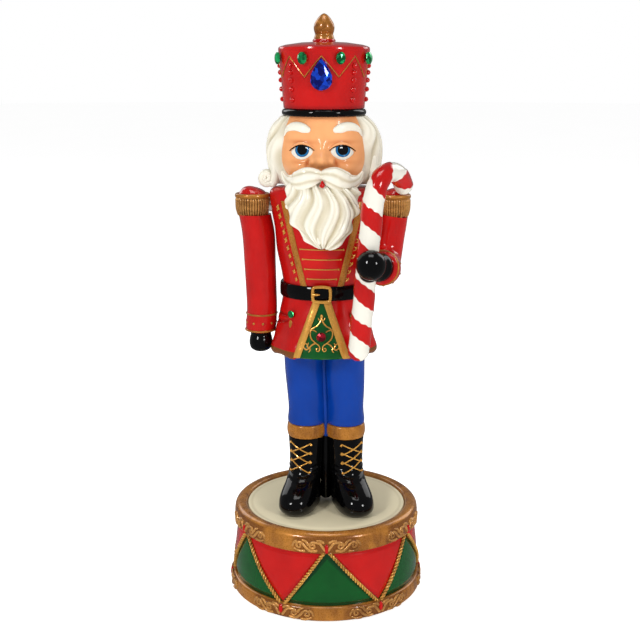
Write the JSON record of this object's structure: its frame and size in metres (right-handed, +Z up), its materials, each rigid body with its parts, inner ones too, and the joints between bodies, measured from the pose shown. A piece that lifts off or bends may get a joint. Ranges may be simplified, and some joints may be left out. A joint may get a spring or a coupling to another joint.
{
  "type": "nutcracker figure",
  "caption": "Bearded toy soldier with a tall jewelled hat and a candy cane, standing on a rope-laced drum; the head turns and both arms swing.",
  "frame": {"origin": "middle of the drum, on the surface that its pads stand on", "axes": "+Z up through the figure, -Y is the way the figure faces, +X is the figure's left, the side of the cane"},
  "size_m": [0.1212, 0.1212, 0.356],
  "materials": {
    "red_gloss": "glossy red lacquer on cast resin",
    "gold_paint": "antique gold paint with darker recesses on cast resin",
    "cream_gloss": "glossy cream paint with an antique tint",
    "black_gloss": "glossy black paint on cast resin",
    "blue_gloss": "glossy royal blue paint on cast resin",
    "skin_gloss": "glossy skin-coloured paint with a rosy tint",
    "hair_ivory": "satin ivory paint with an antique wash in the strands",
    "cane_white": "glossy white with red spiral stripes",
    "green_gem": "faceted green acrylic",
    "red_gem": "faceted red acrylic",
    "blue_gem": "faceted blue acrylic",
    "black_plastic": "moulded, fine grain",
    "white_plastic": "moulded, smooth",
    "rubber_black": "matt",
    "steel": "bright zinc",
    "cell_jacket": "printed jacket with no text",
    "board_green": "solder mask",
    "wire_black": "smooth insulation"
  },
  "bodies": {
    "stand": {"drum_shell": "red_gloss", "top_hoop": "gold_paint", "bottom_hoop": "gold_paint", "drumhead": "cream_gloss", "base_plate": "black_plastic", "battery_door": "black_plastic", "battery_door_screw": "steel", "base_screw_1": "steel", "base_screw_2": "steel", "base_screw_3": "steel", "rubber_foot_1": "rubber_black", "rubber_foot_2": "rubber_black", "rubber_foot_3": "rubber_black", "rubber_foot_4": "rubber_black", "battery_1": "cell_jacket", "battery_2": "cell_jacket", "battery_3": "cell_jacket", "speaker": "black_plastic", "sound_board": "board_green", "switch_housing": "white_plastic", "right_boot": "black_gloss", "left_boot": "black_gloss", "right_trouser_leg": "blue_gloss", "left_trouser_leg": "blue_gloss", "coat": "red_gloss", "belt": "black_gloss", "belt_buckle": "gold_paint", "apron_gem": "red_gem", "right_coat_gem": "green_gem", "left_coat_gem": "green_gem", "hip_plate": "black_plastic", "gearbox": "white_plastic", "motor": "steel", "motor_lead": "wire_black"},
    "switch": {"switch_knob": "black_plastic"},
    "head": {"neck_spindle": "white_plastic", "head": "skin_gloss", "hair": "hair_ivory", "beard": "hair_ivory", "hat_band": "black_gloss", "hat": "red_gloss", "hat_finial": "gold_paint", "pear_gem": "blue_gem", "hat_gem_1": "green_gem", "hat_gem_2": "green_gem", "hat_gem_3": "green_gem", "hat_gem_4": "green_gem", "hat_gem_5": "green_gem", "hat_gem_6": "green_gem", "hat_gem_7": "green_gem", "hat_gem_8": "green_gem"},
    "right_arm": {"right_arm_shaft": "white_plastic", "right_epaulette": "gold_paint", "right_sleeve": "red_gloss", "right_hand": "black_gloss"},
    "left_arm": {"left_arm_shaft": "white_plastic", "left_epaulette": "gold_paint", "left_sleeve": "red_gloss", "left_hand": "black_gloss", "candy_cane": "cane_white"}
  },
  "joints": [
    {"name": "head_turn", "type": "hinge", "parent": "stand", "child": "head", "pos_m": [-0.0015, 0, 0.2564], "axis": [0, 0, 1], "range_deg": [-12, 12]},
    {"name": "right_arm_swing", "type": "hinge", "parent": "stand", "child": "right_arm", "pos_m": [-0.0447, 0, 0.243], "axis": [-1, 0, 0], "range_deg": [0, 15]},
    {"name": "left_arm_swing", "type": "hinge", "parent": "stand", "child": "left_arm", "pos_m": [0.0409, 0, 0.243], "axis": [-1, 0, 0], "range_deg": [0, 12]},
    {"name": "switch_slide", "type": "slide", "parent": "stand", "child": "switch", "axis": [1, 0, 0], "range_m": [0, 0.004]}
  ]
}
